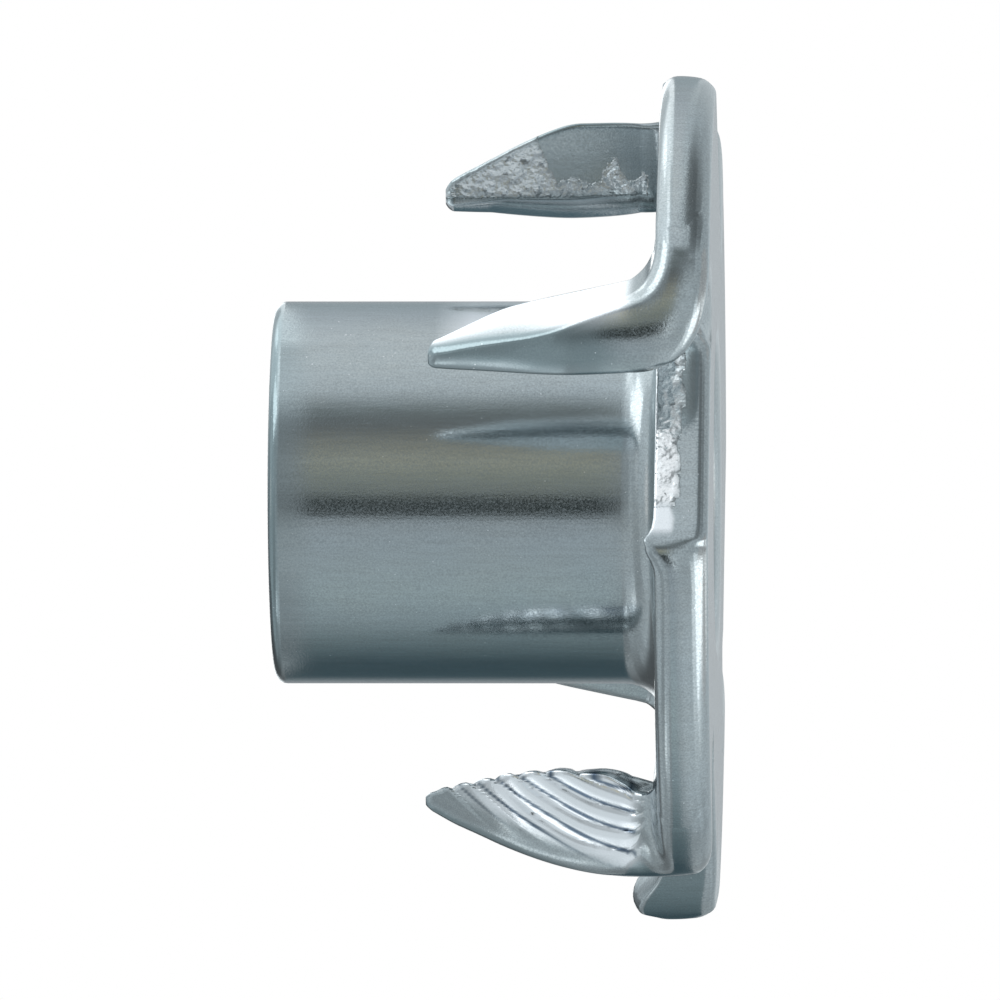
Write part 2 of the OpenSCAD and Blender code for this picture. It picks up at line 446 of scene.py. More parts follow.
        # Shear ripples: full on the face, fading over the inner side, the outer band and the bend.
        hump = self.shells(x_in[:, None] + across - np.interp(yz[..., 1], *self.inner_line), yz[..., 1])
        band = smooth_step((width[:, None] - across - 0.25) / 0.5)
        tall = smooth_step((yz[..., 1] - 1.6) / 0.6) * smooth_step((self.tip_z - 0.1 - yz[..., 1]) / 0.4)
        on_face = smooth_step((through - 0.55) / 0.45)
        on_inner = smooth_step(1 - across / 0.35) * smooth_step((through - 0.12) / 0.3)
        push = (hump - 0.75) * band * tall
        direction = (face - back) / thick[:, None]
        share = np.clip(across / width[:, None], 0, 1)
        grown = smooth_step((yz[..., 1] - p.wedge_start) / 3.8) * np.minimum(1.0, thick[:, None] / 1.6)
        leaning = smooth_step(s / 1.2)[:, None] * np.minimum(1.0, thick[:, None] / 1.6)
        slope = -p.wedge * grown * share * through
        yz = yz + (p.ripple * push * on_face + slope)[..., None] * direction[:, None, :]
        x = x_in[:, None] + across - p.scallop * push * on_inner - p.outer_lean * leaning * share * through
        lean = p.inner_lean * smooth_step((yz[..., 1] - 1.2) / 1.2) * np.minimum(1.0, width / 1.6)[:, None]
        x = x - lean * (1 - share) * through

        # The flat end starts inside the flange and comes through its surface at a very shallow angle, last of all
        # along its inner edge.
        grown_out = np.clip((s + 1) / 0.4, 0, 1)[:, None]
        late = np.clip((s + 0.3) / 0.3, 0, 1)[:, None]
        out = -0.03 + 0.034 * grown_out * (late + (1 - late) * smooth_step(2.5 * share - 0.5))
        yz = yz + (out * (2 * through - 1) * (s < 1)[:, None])[..., None] * direction[:, None, :]
        inset = np.clip(width[:, None] - across, 0, None)
        corner = np.where(through < 0.5, r_back[:, None], r_out[:, None])
        on_rim = inset <= corner + 1e-6
        crown = b.crown * (2 * (through - b.crown_at)) ** 2
        end = x_out[:, None] - corner
        merge = (0.02 + p.merge * smooth_step((s + 0.75) / 0.7))[:, None]
        flat_end = round_off(end, self.rim_x(yz[..., 0], corner), merge) - x_in[:, None]
        squeezed = x_in[:, None] + (x - x_in[:, None]) * flat_end / (width[:, None] - corner)
        on_edge = round_off(x, self.rim_x(yz[..., 0], inset - out), merge)
        x = np.where(on_rim, on_edge, squeezed) - crown * smooth_step(1 - inset / 0.6)
        rings = np.stack([x, yz[..., 0], yz[..., 1]], -1)
        ends = np.stack([rings[0].mean(0), rings[-1].mean(0)])
        return rings, ends

    def build(self) -> bpy.types.Object:
        """Makes the prong's mesh, turned to its place round the nut."""
        rings, ends = self.surface()
        rows, columns = rings.shape[:2]
        points = np.concatenate([rings.reshape(-1, 3), ends])
        turn = math.radians(self.prong.turn)
        spin = np.array([[math.cos(turn), -math.sin(turn), 0], [math.sin(turn), math.cos(turn), 0], [0, 0, 1]])
        points = points @ spin.T
        quads = grid_faces(rows, columns, False, True)
        first, last = rows * columns, rows * columns + 1
        k = np.arange(columns)
        start_cap = np.stack([np.full(columns, first), (k + 1) % columns, k], -1)
        base = (rows - 1) * columns
        end_cap = np.stack([np.full(columns, last), base + k, base + (k + 1) % columns], -1)
        faces = quads.tolist() + start_cap.tolist() + end_cap.tolist()
        return mesh_object("prong_work", points, faces)


@dataclass
class BodyShape:
    """The flange, barrel and threaded bore as one surface swept round the axis."""

    blank: Blank
    shapes: list[ProngShape]
    angles: int = 360
    closes: tuple[float, float] = (57.2, 59.8)

    def lanced_edge(self, shape: ProngShape, delta: np.ndarray) -> tuple[np.ndarray, np.ndarray]:
        """Returns the distance from the axis to the notch's two sides along each direction.

        One side is the straight lanced edge, the other the line on which the prong leaves the flange. A straight
        line at distance c from the axis is c over the cosine of the angle from its normal.

        Args:
            shape: The prong that left the notch.
            delta: Directions in radians, counted from that prong's X.

        Returns:
            Distances to the lanced edge and to the prong's line.
        """
        slope = math.radians(LANCE_SLOPE)
        normal = math.pi / 2 - slope
        c = math.sin(slope) * shape.edge_in + math.cos(slope) * shape.back_y
        return c / np.cos(delta - normal), shape.edge_in / np.cos(delta)

    def outline(self, phi: np.ndarray) -> tuple[np.ndarray, np.ndarray]:
        """Returns the flange's edge radius in each direction, and how far the edge is a lanced one (0 to 1)."""
        radius = np.full_like(phi, self.blank.flange_r)
        lanced = np.zeros_like(phi)
        for shape in self.shapes:
            delta = (phi - math.radians(shape.prong.turn) + math.pi) % (2 * math.pi) - math.pi
            valid = (delta > math.radians(-20)) & (delta < math.radians(80))
            inside = np.where(valid, delta, 0.5)
            cut, line = self.lanced_edge(shape, inside)
            closing = smooth_step((np.degrees(inside) - self.closes[0]) / (self.closes[1] - self.closes[0]))
            line = line + (2 * self.blank.flange_r - line) * closing
            notch = np.where(valid, blend_extreme(cut, line, 0.35, Side.LARGER), 2 * self.blank.flange_r)
            lanced = np.maximum(lanced, smooth_step((self.blank.flange_r - notch) / 0.25) * valid * (cut > line - 0.3))
            radius = blend_extreme(radius, notch, 0.12, Side.SMALLER)
        return radius, lanced

    def thread(self, phi: np.ndarray, z: np.ndarray) -> np.ndarray:
        """Returns the bore's radius: a right-handed 60 degree thread, opened by the lead-in at the barrel's end.

        Across one pitch the wall is flat at the crest, slopes to the root and is flat there, and the pattern climbs
        one pitch a turn.
        """
        b = self.blank
        share = (z / b.thread_pitch - phi / (2 * math.pi)) % 1.0
        away = np.abs(share - 0.5) * 2
        depth = (b.thread_r - b.bore_r) * np.clip((0.76 - away) / 0.62, 0, 1)
        depth = depth * smooth_step((z - b.mouth_r + 0.1) / 0.9)
        lead = b.thread_r + b.lead_in - (b.height - z)
        return np.maximum(b.bore_r + depth, lead)

    def surface(self) -> np.ndarray:
        """Works out the swept surface.

        For each direction round the axis the section is one closed loop: back face, edge, front face, root fillet,
        barrel, end, thread and mouth. It is then pushed where the bends and the upturned corners draw it along.

        Returns:
            Points as loop samples x directions x 3.
        """
        b = self.blank
        quarter = math.pi / 2
        hot = []
        for k in range(-1, 5):
            hot += [(math.radians(12.9) + k * quarter, 6.0, math.radians(1.2)),
                    (math.radians(47.7) + k * quarter, 2.0, math.radians(3.0)),
                    (math.radians(59.5) + k * quarter, 1.0, math.radians(3.0))]
        phi = spread_samples(0, 2 * math.pi, self.angles, hot)
        edge, lanced = self.outline(phi)
        r_back = b.rim_r + lanced * (0.30 - b.rim_r)
        r_front = b.rim_r + lanced * (0.07 - b.rim_r)

        def row(r: np.ndarray, z: np.ndarray) -> np.ndarray:
            r, z = np.broadcast_arrays(r, z)
            return np.stack([r, z], -1)

        def quarter_arc(r: np.ndarray, z: np.ndarray, radius: np.ndarray, start: float, count: int) -> np.ndarray:
            angle = np.radians(np.linspace(start, start + 90, count))[:, None]
            return row(r[None, :] + radius[None, :] * np.cos(angle), z[None, :] + radius[None, :] * np.sin(angle))

        def span(a: np.ndarray, c: np.ndarray, count: int, power: float = 1.0) -> np.ndarray:
            t = (np.arange(1, count + 1) / (count + 1))[:, None, None] ** power
            return a[None] + t * (c - a)[None]

        ones = np.ones_like(phi)
        back_edge = quarter_arc(edge - r_back, r_back, r_back, -90, 7)
        front_edge = quarter_arc(edge - r_front, b.flange_t - r_front, r_front, 0, 7)
        root_angle = np.radians(np.linspace(90, 0, 9))[:, None]
        root = row((b.barrel_r + b.root_r - b.root_r * np.sin(root_angle[::-1])) * ones,
                   (b.flange_t + b.root_r - b.root_r * np.cos(root_angle[::-1])) * ones)
        end_edge = quarter_arc((b.barrel_r - b.end_r) * ones, (b.height - b.end_r) * ones, b.end_r * ones, 0, 7)
        z_thread = np.linspace(b.height, b.mouth_r, 76)[:, None] * ones
        bore = row(self.thread(phi[None, :], z_thread), z_thread)
        mouth_angle = np.radians(np.linspace(90, 0, 10))[1:, None]
        mouth = row((b.bore_r + b.mouth_r - b.mouth_r * np.sin(mouth_angle)) * ones,
                    (b.mouth_r - b.mouth_r * np.cos(mouth_angle)) * ones)
        loop = np.concatenate([
            span(mouth[-1], back_edge[0], 18, 0.8), back_edge, span(back_edge[-1], front_edge[0], 9), front_edge,
            span(front_edge[-1], root[0], 20, 1.2), root, span(root[-1], end_edge[0], 8), end_edge,
            span(end_edge[-1], bore[0], 2), bore, mouth])
        r, z = loop[..., 0], loop[..., 1]
        at_rim = smooth_step((r - edge + 0.6) / 0.6) * (z < b.flange_t + 1e-6) * (1 - lanced)
        r = r - at_rim * b.crown * (2 * (z / b.flange_t - b.crown_at)) ** 2
        x, y = r * np.cos(phi), r * np.sin(phi)
        return self.pushed(np.stack([x, y, z], -1))

    def pushed(self, points: np.ndarray) -> np.ndarray:
        """Lifts the flange beside each bend and turns up the corner at the end of each lobe.

        Beside a bend the front rises with the prong's face and the back with its back, by no more than a set
        height, fading over about a millimetre. A corner rises by the prong's lip, fading along a bell.

        Args:
            points: Points of the swept surface, in millimetres.

        Returns:
            The moved points.
        """
        b = self.blank
        out = points.copy()
        level = np.clip(points[..., 2] / b.flange_t, 0, 1)
        in_flange = (points[..., 2] <= b.flange_t + 1e-6) & (np.hypot(points[..., 0], points[..., 1]) > 5.8)
        for shape in self.shapes:
            turn = math.radians(shape.prong.turn)
            x = points[..., 0] * math.cos(turn) + points[..., 1] * math.sin(turn)
            y = -points[..., 0] * math.sin(turn) + points[..., 1] * math.cos(turn)
            face, back = shape.spine(np.linspace(0, 1, 40))
            order = np.argsort(face[:, 0])
            front_rise = np.interp(y, face[order, 0], face[order, 1] - b.flange_t, left=0.6, right=0)
            order = np.argsort(back[:, 0])
            back_rise = np.interp(y, back[order, 0], back[order, 1], left=0.9, right=0)
            beside = smooth_step((x - (shape.edge_in - 1.3)) / 1.25)
            front_rise = 0.14 * np.tanh(front_rise / 0.14) * smooth_step((y - shape.back_y + 0.1) / 1.2)
            back_rise = 0.40 * np.tanh(back_rise / 0.40) * smooth_step((y - shape.back_y + 0.2) / 0.9)
            away = smooth_step((y - shape.back_y + 0.3) / 0.4) * (x > 0) * in_flange
            out[..., 2] += beside * away * (level * front_rise + (1 - level) * back_rise)
            if shape.prong.lip:
                centre = b.flange_r - shape.prong.lip_in
                cx = centre * math.cos(math.radians(12.7))
                cy = centre * math.sin(math.radians(12.7))
                off = np.hypot(x - cx, y - cy)
                bell = np.exp(-((off / shape.prong.lip_w) ** shape.prong.lip_power)) * in_flange
                out[..., 2] += shape.prong.lip * bell * (shape.prong.lip_back + (1 - shape.prong.lip_back) * level)
                swell = shape.prong.lip_out * np.exp(-((off / 1.7) ** 2)) * in_flange
                norm = np.hypot(points[..., 0], points[..., 1]) + 1e-9
                out[..., 0] += swell * points[..., 0] / norm
                out[..., 1] += swell * points[..., 1] / norm
        return out

    def build(self) -> bpy.types.Object:
        """Makes the swept mesh."""
        points = self.surface()
        rows, columns = points.shape[:2]
        quads = grid_faces(rows, columns, True, True)
        return mesh_object("body_work", points.reshape(-1, 3), quads.tolist())


class NodeGroup:
    """Builds one shared shader group: its sockets, its nodes and their links."""

    def __init__(self, name: str, inputs: dict[str, str], outputs: dict[str, str]) -> None:
        """Starts an empty group.

        Args:
            name: Name of the group.
            inputs: Socket type of each input, by name.
            outputs: Socket type of each output, by name.
        """
        self.tree = bpy.data.node_groups.new(name, "ShaderNodeTree")
        for socket, kind in inputs.items():
            self.tree.interface.new_socket(socket, in_out="INPUT", socket_type=kind)
        for socket, kind in outputs.items():
            self.tree.interface.new_socket(socket, in_out="OUTPUT", socket_type=kind)
        self.given = self.tree.nodes.new("NodeGroupInput").outputs
        self.result = self.tree.nodes.new("NodeGroupOutput").inputs

    def noise(self, size_mm: float, detail: float, vector: bpy.types.NodeSocket) -> bpy.types.NodeSocket:
        """Adds a noise whose features are about size_mm wide and returns its value."""
        node = self.tree.nodes.new("ShaderNodeTexNoise")
        node.inputs["Scale"].default_value = 1.0 / (size_mm * MM)
        node.inputs["Detail"].default_value = detail
        self.tree.links.new(vector, node.inputs["Vector"])
        return node.outputs["Fac"]

    def stretched(self, vector: bpy.types.NodeSocket, scale: tuple[float, float, float]) -> bpy.types.NodeSocket:
        """Adds a scaling of a vector."""
        node = self.tree.nodes.new("ShaderNodeVectorMath")
        node.operation = "MULTIPLY"
        node.inputs[1].default_value = scale
        self.tree.links.new(vector, node.inputs[0])
        return node.outputs["Vector"]

    def ramp(self, value: bpy.types.NodeSocket, low: float, high: float) -> bpy.types.NodeSocket:
        """Adds a map of low..high to 0..1, held at both ends."""
        node = self.tree.nodes.new("ShaderNodeMapRange")
        node.inputs["From Min"].default_value = low
        node.inputs["From Max"].default_value = high
        self.tree.links.new(value, node.inputs["Value"])
        return node.outputs["Result"]

    def math(self, kind: str, a: bpy.types.NodeSocket, b: bpy.types.NodeSocket | float) -> bpy.types.NodeSocket:
        """Adds one sum of two values, the second a socket or a number."""
        node = self.tree.nodes.new("ShaderNodeMath")
        node.operation = kind
        self.tree.links.new(a, node.inputs[0])
        if isinstance(b, float):
            node.inputs[1].default_value = b
        else:
            self.tree.links.new(b, node.inputs[1])
        return node.outputs["Value"]

    def bump(self, height: bpy.types.NodeSocket, depth_mm: float, normal: bpy.types.NodeSocket | None = None
             ) -> bpy.types.NodeSocket:
        """Adds a bump of depth_mm, on top of another normal if one is given, and returns the normal."""
        node = self.tree.nodes.new("ShaderNodeBump")
        node.inputs["Distance"].default_value = depth_mm * MM
        self.tree.links.new(height, node.inputs["Height"])
        if normal is not None:
            self.tree.links.new(normal, node.inputs["Normal"])
        return node.outputs["Normal"]

    def put(self, name: str, value: bpy.types.NodeSocket) -> None:
        """Joins a value to an output of the group."""
        self.tree.links.new(value, self.result[name])


@dataclass(frozen=True)
class ZincFinish:
    """Bright zinc plating: blue-grey, half glossy, finely grained, crinkled where the metal was torn."""

    colour: tuple[float, float, float] = (0.44, 0.50, 0.53)
    warm: tuple[float, float, float] = (0.48, 0.51, 0.50)
    # Partly the lighter bare metal of the tears, partly a painted highlight that lightens it further.
    bare_and_highlight: tuple[float, float, float] = (0.95, 0.96, 0.97)
    # Near white, for the painted highlights and the painted glints.
    highlight_white: tuple[float, float, float] = (0.93, 0.96, 0.99)
    # Dark, for the painted shade in the ripple grooves.
    painted_groove_shade: tuple[float, float, float] = (0.09, 0.13, 0.19)
    # Dark, for the painted shade on the prongs' outer sides and the barrel's end edge.
    painted_shade: tuple[float, float, float] = (0.22, 0.29, 0.31)
    roughness: float = 0.14
    speckle_mm: float = 0.05
    streak_mm: float = 0.10
    torn_mm: float = 0.42

    def grain_group(self) -> bpy.types.NodeTree:
        """Makes the group "grain": fine speckle, drawing streaks, bright flecks of painted glint and the normal they
        give.
        """
        group = NodeGroup("grain", {"Vector": "NodeSocketVector"}, {
            "Speckle": "NodeSocketFloat", "Streak": "NodeSocketFloat", "PaintedGlint": "NodeSocketFloat",
            "Cloud": "NodeSocketFloat", "Normal": "NodeSocketVector"})
        place = group.given["Vector"]
        speckle = group.noise(self.speckle_mm, 2.0, place)
        streak = group.noise(self.streak_mm, 2.0, group.stretched(place, (1, 1, 0.09)))
        group.put("Speckle", group.ramp(speckle, 0.3, 0.7))
        group.put("Streak", group.ramp(streak, 0.3, 0.7))
        group.put("PaintedGlint", group.ramp(group.noise(1.2 * self.speckle_mm, 0.0, place), 0.84, 0.90))
        group.put("Cloud", group.noise(2.2, 3.0, place))
        normal = group.bump(streak, 0.0012)
        group.put("Normal", group.bump(speckle, 0.0016, normal))
        return group.tree

    def torn_group(self) -> bpy.types.NodeTree:
        """Makes the group "torn": the normal of crinkled metal, and its bright and dark places, under a mask."""
        group = NodeGroup("torn", {"Vector": "NodeSocketVector", "Mask": "NodeSocketFloat",
                                   "Normal": "NodeSocketVector"},
                          {"Normal": "NodeSocketVector", "Pit": "NodeSocketFloat", "Mask": "NodeSocketFloat"})
        wobble = group.noise(0.3 * self.torn_mm, 2.0, group.given["Vector"])
        level = group.math("MINIMUM", group.math("MULTIPLY", group.given["Mask"], 2.0), 1.0)
        field_sum = group.math("ADD", level, group.math("MULTIPLY", wobble, 1.2))
        mask = group.math("MULTIPLY", group.ramp(field_sum, 0.85, 1.05), group.ramp(group.given["Mask"], 0.02, 0.12))
        group.put("Mask", group.math("MULTIPLY", mask, group.given["Mask"]))
        crinkle = group.noise(self.torn_mm, 2.5, group.given["Vector"])
        group.put("Normal", group.bump(group.math("MULTIPLY", crinkle, mask), 0.07, group.given["Normal"]))
        pit = group.ramp(group.noise(0.5 * self.torn_mm, 3.0, group.given["Vector"]), 0.62, 0.70)
        group.put("Pit", group.math("MULTIPLY", pit, mask))
        return group.tree

    def build(self) -> bpy.types.Material:
        """Makes the material.

        Returns:
            A node material that reads Object coordinates and the mesh's own masks.
        """
        material = bpy.data.materials.new("zinc_plating")
        material.use_nodes = True
        tree = material.node_tree
        nodes, links = tree.nodes, tree.links
        nodes.clear()
        out = nodes.new("ShaderNodeOutputMaterial")
        metal = nodes.new("ShaderNodeBsdfPrincipled")
        metal.inputs["Metallic"].default_value = 1.0
        links.new(metal.outputs["BSDF"], out.inputs["Surface"])
        place = nodes.new("ShaderNodeTexCoord").outputs["Object"]
        grain = nodes.new("ShaderNodeGroup")
        grain.node_tree = self.grain_group()
        torn = nodes.new("ShaderNodeGroup")
        torn.node_tree = self.torn_group()
        links.new(place, grain.inputs["Vector"])
        links.new(place, torn.inputs["Vector"])
        masks = {}
        for name in MASKS:
            mask = nodes.new("ShaderNodeAttribute")
            mask.attribute_name = name
            masks[name] = mask.outputs["Fac"]
        links.new(masks["torn"], torn.inputs["Mask"])
        links.new(grain.outputs["Normal"], torn.inputs["Normal"])
        links.new(torn.outputs["Normal"], metal.inputs["Normal"])

        def mixed(first: bpy.types.NodeSocket, second: tuple, share: bpy.types.NodeSocket, most: float
                  ) -> bpy.types.NodeSocket:
            weight = nodes.new("ShaderNodeMath")
            weight.operation = "MULTIPLY"
            weight.inputs[1].default_value = most
            links.new(share, weight.inputs[0])
            mix = nodes.new("ShaderNodeMix")
            mix.data_type = "RGBA"
            links.new(weight.outputs["Value"], mix.inputs["Factor"])
            links.new(first, mix.inputs["A"])
            mix.inputs["B"].default_value = (*second, 1)
            return mix.outputs["Result"]

        base = nodes.new("ShaderNodeRGB")
        base.outputs["Color"].default_value = (*self.colour, 1)
        colour = mixed(base.outputs["Color"], self.warm, grain.outputs["Cloud"], 1.0)
        colour = mixed(colour, tuple(0.6 * c for c in self.colour), grain.outputs["Speckle"], 0.6)
        colour = mixed(colour, tuple(1.25 * c for c in self.colour), grain.outputs["Streak"], 0.22)
        # Torn metal: the bare metal colour, partly lightened as a painted highlight.
        colour = mixed(colour, self.bare_and_highlight, torn.outputs["Mask"], 1.0)
        colour = mixed(colour, tuple(0.3 * c for c in self.colour), torn.outputs["Pit"], 0.7)
        # Painted highlight where its mask is set.
        colour = mixed(colour, self.highlight_white, masks["painted_highlight"], 1.0)
        # Painted shade in the ripple grooves.
        colour = mixed(colour, self.painted_groove_shade, masks["painted_groove_shade"], 0.95)
        # Painted shade on the prongs' outer sides and the barrel's end edge.
        colour = mixed(colour, self.painted_shade, masks["painted_shade"], 1.0)
        # Painted glints as near-white flecks.
        colour = mixed(colour, self.highlight_white, grain.outputs["PaintedGlint"], 0.8)
        links.new(colour, metal.inputs["Base Color"])
        rough = nodes.new("ShaderNodeMapRange")
        rough.inputs["To Min"].default_value = self.roughness - 0.05
        rough.inputs["To Max"].default_value = self.roughness + 0.08
        links.new(grain.outputs["Speckle"], rough.inputs["Value"])
        links.new(rough.outputs["Result"], metal.inputs["Roughness"])
        return material


@dataclass
class TeeNut:
    """The whole nut: body and prongs joined into one closed mesh."""

    blank: Blank
    prongs: list[Prong]
    finish: ZincFinish = field(default_factory=ZincFinish)
    crease: float = 38.0

    def build(self) -> bpy.types.Object:
        """Makes the nut, marks its torn faces, and dresses it.

        Returns:
            The finished object, riding on the root body.
        """
        shapes = [ProngShape(p, self.blank) for p in self.prongs]
        body = BodyShape(self.blank, shapes).build()
        arms = [shape.build() for shape in shapes]
        nut = self.joined(body, arms)
        self.mark(nut, shapes)
        nut.data.materials.clear()
        nut.data.materials.append(self.finish.build())
        nut.data.polygons.foreach_set("use_smooth", np.ones(len(nut.data.polygons), dtype=bool))
        nut.data.set_sharp_from_angle(angle=math.radians(self.crease))
        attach(nut, "root")
        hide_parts("tee_nut")
        return nut

    def joined(self, body: bpy.types.Object, arms: list[bpy.types.Object]) -> bpy.types.Object:
        """Unites the body and the prongs and removes the working objects.

        Args:
            body: The swept body.
            arms: The prongs.

        Returns:
            A new object with the united mesh.
        """
        for arm in arms:
            union = body.modifiers.new("union", "BOOLEAN")
            union.operation = "UNION"
            union.solver = "MANIFOLD"
            union.object = arm
        bpy.context.view_layer.update()
        graph = bpy.context.evaluated_depsgraph_get()
        mesh = bpy.data.meshes.new_from_object(body.evaluated_get(graph))
        mesh.name = "tee_nut_metal"
        nut = bpy.data.objects.new("tee_nut_metal", mesh)
        bpy.context.scene.collection.objects.link(nut)
        for work in [body, *arms]:
            data = work.data
            bpy.data.objects.remove(work)
            bpy.data.meshes.remove(data)
        return nut

    def mark(self, nut: bpy.types.Object, shapes: list[ProngShape]) -> None:
        """Writes the point attributes that the material reads: the torn mask and three masks of painted light.

        torn is 1 where the punch tore the metal: on the outer part of the lanced edges, and in patches on the back
        of a prong. The painted-highlight mask is 1 on the face of a prong so set (the near one), on the ripple crests,
        near the rim end of each lanced edge and along the top prong's inner bevel. One painted-shade mask darkens the
        ripple grooves, the other the prongs' outer sides and the barrel's end edge.

        Args:
            nut: The united nut.
            shapes: The prongs' shapes, which say where the lanced edges lie.
        """
        mesh = nut.data
        count = len(mesh.vertices)
        points = np.empty(count * 3, dtype=np.float32)
        mesh.vertices.foreach_get("co", points)
        points = points.reshape(-1, 3) / MM
        masks = {name: np.zeros(count) for name in MASKS}
        blank = shapes[0].blank
        radius = np.hypot(points[:, 0], points[:, 1])
        # Painted shade on the barrel's end edge.
        end = smooth_step((points[:, 2] - blank.height + 0.4) / 0.25) * (radius > blank.barrel_r - 0.6)
        masks["painted_shade"] = 0.8 * end * (radius < blank.barrel_r + 0.1)
        slope = math.radians(LANCE_SLOPE)
        for shape in shapes:
            turn = math.radians(shape.prong.turn)
            x = points[:, 0] * math.cos(turn) + points[:, 1] * math.sin(turn)
            y = -points[:, 0] * math.sin(turn) + points[:, 1] * math.cos(turn)
            z = points[:, 2]
            off = (x - shape.edge_in) * math.sin(slope) + (y - shape.back_y) * math.cos(slope)
            along = (x - shape.edge_in) * math.cos(slope) - (y - shape.back_y) * math.sin(slope)
            share = along / shape.cut_length
            border = 0.62 + 0.25 * share + 0.05 * np.sin(17 * share) + 0.04 * np.sin(41 * share + 1)
            on_cut = (np.abs(off) < 0.12) & (along > 0) & (z < shape.blank.flange_t + 0.8)
            rough = smooth_step((z - border) / 0.12) * smooth_step((0.79 - share) / 0.03)
            masks["torn"] = np.maximum(masks["torn"], shape.prong.torn * on_cut * rough)
            # Painted highlight near the rim end of the lanced edge, scaled by the prong's torn strength.
            corner = smooth_step((z - border) / 0.12) * smooth_step((share - 0.76) / 0.03) * smooth_step((0.93 - share) / 0.03)
            masks["painted_highlight"] = np.maximum(masks["painted_highlight"], shape.prong.torn * on_cut * corner)
            # Painted shade on the prong's outer side.
            outer = np.interp(z - shape.blank.flange_t, *np.array(shape.prong.outer).T)
            on_side = smooth_step((x - outer + 0.45) / 0.3) * (x < 9) * smooth_step((z - 1.9) / 1.2)
            on_side = on_side * (np.abs(y - 7) < 2) * smooth_step((0.9 - (y - shape.back_at(z)) / shape.thickness(z)) / 0.15)
            masks["painted_shade"] = np.maximum(masks["painted_shade"], 0.75 * on_side)
            on_blade = (x > 4.5) & (x < 9) & (z > shape.blank.flange_t + 0.6) & (z < shape.tip_z)
            if shape.prong.ragged:
                h = z - shape.blank.flange_t
                reach = 0.2 + 0.04 * np.sin(23 * h + 2) + 2.4 * np.clip(h - 2.9, 0, 1.2)
                for place, height, width in ((0.33, 0.9, 0.3), (1.41, 0.7, 0.26), (2.5, 0.2, 0.3)):
                    reach = reach + height * np.exp(-(((h - place) / width) ** 2))
                edge = shape.edge_in + shape.prong.bevel[0]
                near_back = np.abs(y - shape.back_at(z)) < 0.12
                patch = smooth_step((edge + reach - x) / 0.35 + 0.5) * smooth_step((x - edge + 0.1) / 0.2)
                masks["torn"] = np.maximum(masks["torn"], shape.prong.ragged * on_blade * near_back * patch)
                # Painted highlight along the inner bevel.
                strip = smooth_step((edge - 0.05 - x) / 0.15) * on_blade
                masks["painted_highlight"] = np.maximum(masks["painted_highlight"], 0.75 * strip)
            # Painted highlight over the prong's face.
            if shape.prong.face_highlight:
                depth = (y - shape.back_at(z)) / shape.thickness(z)
                outer = np.interp(z - shape.blank.flange_t, *np.array(shape.prong.outer).T)
                face = smooth_step((depth - 0.72) / 0.2) * (x > 4.3) * (x < outer + 0.1) * smooth_step((z - 1.9) / 0.5)
                face = face * (y < 9) * smooth_step((outer - 0.02 - x) / 0.15) * (z < shape.tip_z)
                masks["painted_highlight"] = np.maximum(masks["painted_highlight"], shape.prong.face_highlight * face)
            if shape.prong.ripple:
                depth = (y - shape.back_at(z)) / shape.thickness(z)
                near_face = smooth_step((depth - 0.3) / 0.4) * smooth_step((z - shape.blank.flange_t) / 0.6)
                rise = (z - shape.blank.flange_t) / 5
                inner = smooth_step((shape.painted_band_edge(z) - 0.1 - 0.35 * rise - x) / 0.5) * (x > 4.5)
                inner = inner * (1 - 0.55 * smooth_step((z - 5.2) / 1.6)) * smooth_step((z - 1.7) / 0.5)
                on_face = (y < 9.5) * near_face * inner
                hump = shape.shells(x - np.interp(z, *shape.inner_line), z)
                crest = smooth_step((hump - 0.36) / 0.3)
                # Painted highlight on the ripple crests.
                masks["painted_highlight"] = np.maximum(masks["painted_highlight"], on_face * crest)
                # Painted shade in the grooves between the crests.
                masks["painted_groove_shade"] = np.maximum(masks["painted_groove_shade"], on_face * (1 - crest) * (z > 2.0))
        for name, values in masks.items():
            attribute = mesh.attributes.new(name, "FLOAT", "POINT")
            attribute.data.foreach_set("value", values.astype(np.float32))


@dataclass(frozen=True)
class Ring:
    """One graded sheet round the nut: its rise above the flange's plane and its colour at angles from the camera."""

    name: str
    rise: tuple[float, float]
    stops: tuple[tuple[float, tuple[float, float, float]], ...]


def grey(value: float) -> tuple[float, float, float]:
    """Returns a neutral colour."""
    return (value, value, value)


def cool(value: float) -> tuple[float, float, float]:
    """Returns a slightly blue colour, nearer to neutral the brighter it is."""
    part = min(1.0, 0.8 / value)
    return ((1 - 0.07 * part) * value, (1 + 0.01 * part) * value, (1 + 0.05 * part) * value)


def stops(tint: Callable[[float], tuple[float, float, float]], *pairs: tuple[float, float]) -> tuple:
    """Returns (angle, colour) stops from (angle, value) pairs and a tint."""
    return tuple((angle, tint(value)) for angle, value in pairs)


